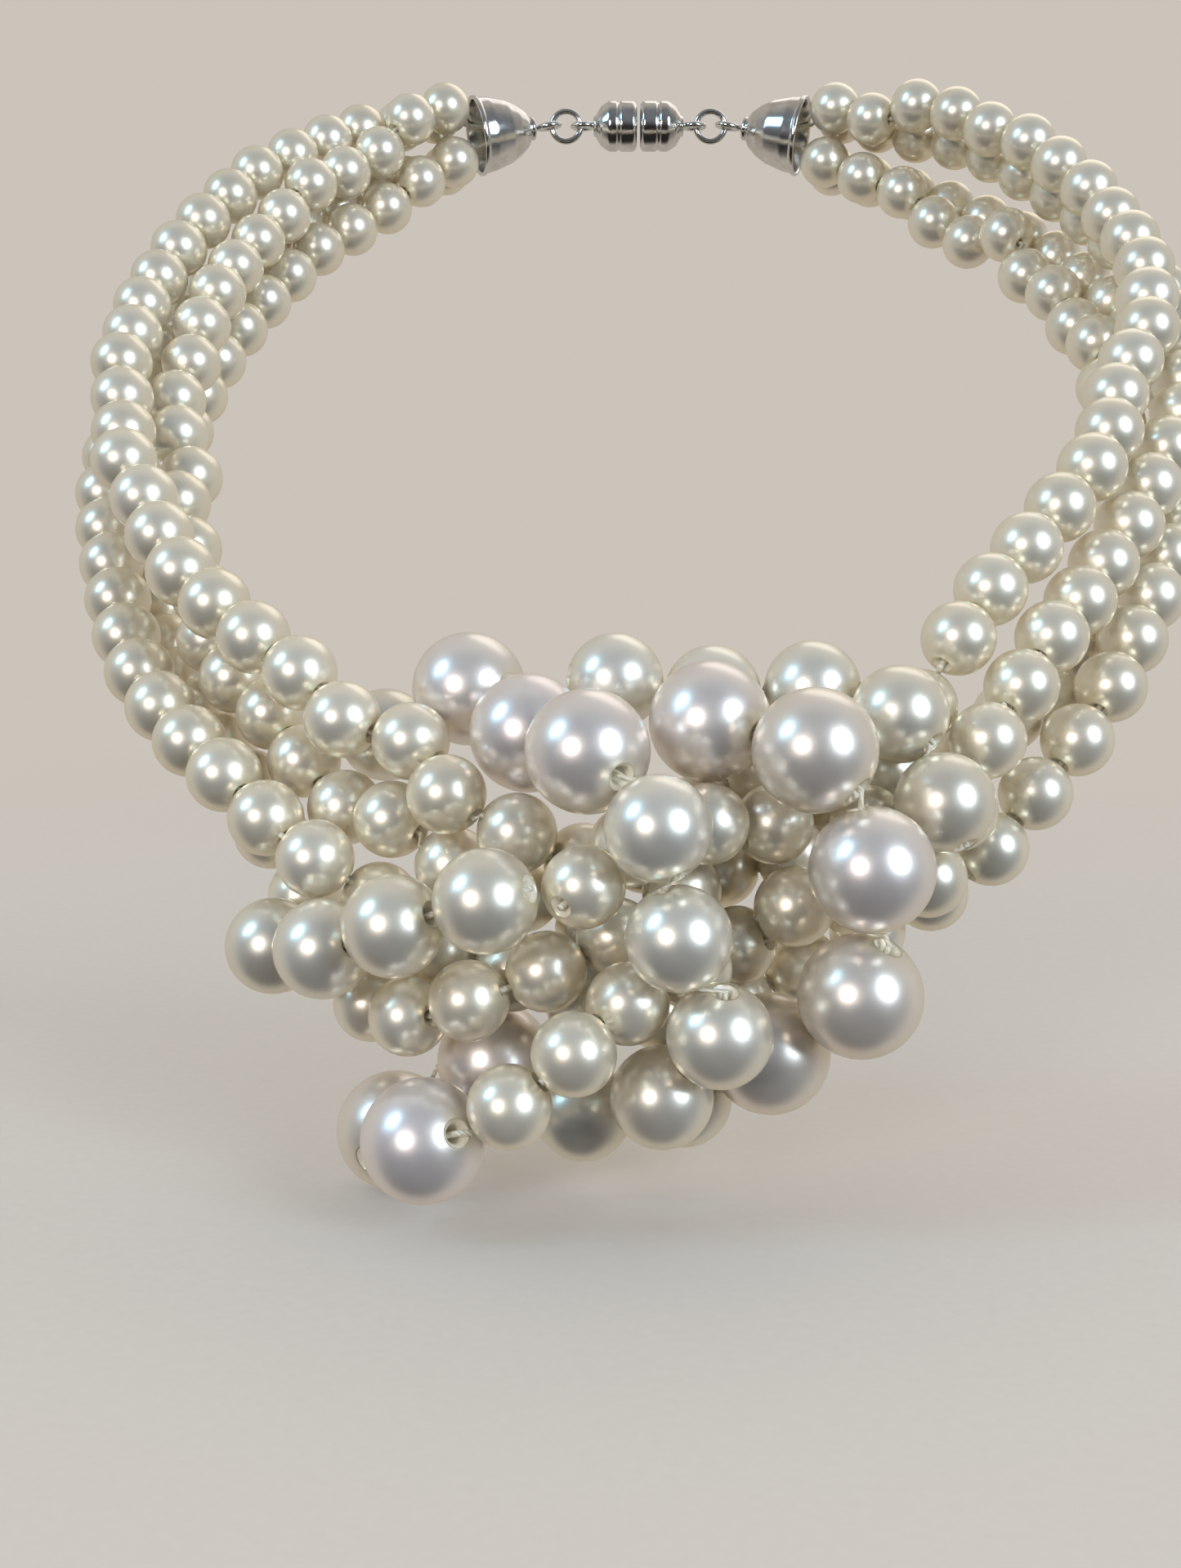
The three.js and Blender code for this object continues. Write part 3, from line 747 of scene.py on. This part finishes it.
KNOT = Vector((0, -80 * MM, -55 * MM))         # the lamps aim at it
FLOOR_BELOW = 0.3 * MM         # from the lowest pearl
FLOOR_R = 1
FLOOR_TONE = (0.6, 0.555, 0.505)
FADE = (0.06, 0.3)             # where the floor starts and ends its fade, in metres from the middle
BACKDROP = (0.6, 0.55, 0.49)
SKY_FRONT = (0.22, 0.22, 0.24), (0.36, 0.385, 0.43)           # from low to high
SKY_BACK = (0.95, 0.87, 0.76), (0.9, 0.84, 0.76)
SKY_DARK = (0.045, 0.04, 0.04)
DARK_WAY = tuple(Vector((-0.15, -0.68, -0.72)).normalized())  # towards the dark of the room
SKY_LIGHT = (1.05, 0.5)        # strength of the surroundings as light and as a reflection


def fade_out(tree, surface):
    """Lets the backdrop show through the floor away from the necklace."""
    away = tree.nodes.new("ShaderNodeVectorMath")
    away.operation = "LENGTH"
    tree.links.new(tree.nodes.new("ShaderNodeTexCoord").outputs["Object"], away.inputs[0])
    both = tree.nodes.new("ShaderNodeMixShader")
    tree.links.new(ranged(tree, away.outputs["Value"], *FADE, 0, 1), both.inputs["Fac"])
    tree.links.new(surface.outputs["BSDF"], both.inputs[1])
    tree.links.new(tree.nodes.new("ShaderNodeBsdfTransparent").outputs["BSDF"], both.inputs[2])
    output = next(node for node in tree.nodes if node.type == "OUTPUT_MATERIAL")
    tree.links.new(both.outputs["Shader"], output.inputs["Surface"])


def make_floor():
    """A wide pale floor under the lowest pearl, which fades out with distance."""
    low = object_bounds()[0]
    bm = bmesh.new()
    bmesh.ops.create_circle(bm, cap_ends=True, radius=FLOOR_R, segments=96)
    bmesh.ops.translate(bm, verts=bm.verts, vec=(0, 0, low.z - FLOOR_BELOW))
    mesh = bpy.data.meshes.new("floor")
    bm.to_mesh(mesh)
    bm.free()
    floor = bpy.data.objects.new("floor", mesh)
    bpy.context.scene.collection.objects.link(floor)
    material, tree, surface = new_material("floor_paint")
    grain = ranged(tree, noise(tree, 1.2 * MM, 3), 0.3, 0.7, 0, 1)
    darker = tuple(0.97 * part for part in FLOOR_TONE)
    tree.links.new(mixed(tree, grain, FLOOR_TONE, darker), surface.inputs["Base Color"])
    surface.inputs["Roughness"].default_value = 0.9
    surface.inputs["Specular IOR Level"].default_value = 0.2
    fade_out(tree, surface)
    mesh.materials.append(material)
    floor.visible_glossy = False


def studio_light(name, azimuth, elevation, distance, size, power, colour):
    """A soft lamp aimed at the knot, in watts. azimuth is from the front towards +X, in degrees."""
    data = bpy.data.lights.new(name, "AREA")
    data.shape = "RECTANGLE" if name.startswith("window") else "ELLIPSE"
    data.size, data.size_y = size
    data.energy = power
    data.color = colour
    lamp = bpy.data.objects.new(name, data)
    bpy.context.scene.collection.objects.link(lamp)
    turn, rise = math.radians(azimuth), math.radians(elevation)
    way = Vector((math.sin(turn) * math.cos(rise), -math.cos(turn) * math.cos(rise), math.sin(rise)))
    lamp.location = KNOT + way * distance
    lamp.rotation_euler = way.to_track_quat("Z", "Y").to_euler()


def sky(tree):
    """Soft studio surroundings: pale behind, dimmer in front, dark low in front."""
    place = tree.nodes.new("ShaderNodeTexCoord").outputs["Generated"]
    dots = {}
    for name, way in (("back", (0, 1, 0)), ("up", (0, 0, 1)), ("dark", DARK_WAY)):
        node = tree.nodes.new("ShaderNodeVectorMath")
        node.operation = "DOT_PRODUCT"
        node.inputs[1].default_value = way
        tree.links.new(place, node.inputs[0])
        dots[name] = node.outputs["Value"]
    front = mixed(tree, ranged(tree, dots["up"], -0.2, 0.8, 0, 1), *SKY_FRONT)
    back = mixed(tree, ranged(tree, dots["up"], -0.7, 0.5, 0, 1), *SKY_BACK)
    both = mixed(tree, ranged(tree, dots["back"], -0.35, 0.2, 0, 1), front, back)
    return mixed(tree, ranged(tree, dots["dark"], 0.5, 0.78, 0, 1), both, SKY_DARK)


def make_world():
    """Surroundings that light the pearls, behind a plain pale backdrop."""
    world = bpy.data.worlds.new("studio")
    world.use_nodes = True
    bpy.context.scene.world = world
    tree = world.node_tree
    tree.nodes.clear()
    output = tree.nodes.new("ShaderNodeOutputWorld")
    lit, seen = tree.nodes.new("ShaderNodeBackground"), tree.nodes.new("ShaderNodeBackground")
    tree.links.new(sky(tree), lit.inputs["Color"])
    path = tree.nodes.new("ShaderNodeLightPath").outputs
    tree.links.new(ranged(tree, path["Is Glossy Ray"], 0, 1, *SKY_LIGHT), lit.inputs["Strength"])
    seen.inputs["Color"].default_value = (*BACKDROP, 1)
    seen.inputs["Strength"].default_value = 1
    both = tree.nodes.new("ShaderNodeMixShader")
    tree.links.new(path["Is Camera Ray"], both.inputs["Fac"])
    tree.links.new(lit.outputs[0], both.inputs[1])
    tree.links.new(seen.outputs[0], both.inputs[2])
    tree.links.new(both.outputs[0], output.inputs["Surface"])


make_floor()
studio_light("key", -30, 16, 0.7, (0.2, 0.2), 1.6, (1, 0.94, 0.92))
studio_light("softbox", 46, 22, 0.8, (0.4, 0.5), 4.2, (0.7, 0.85, 1))
studio_light("window", -76, 36, 0.9, (0.09, 0.4), 1.3, (0.4, 0.72, 1))
studio_light("window_pane", -66, 38, 0.9, (0.07, 0.3), 0.8, (0.4, 0.72, 1))
studio_light("back_key", 158, 40, 0.8, (0.6, 0.5), 0.6, (1, 0.97, 0.94))
make_world()
bpy.context.scene.view_settings.view_transform = "Standard"
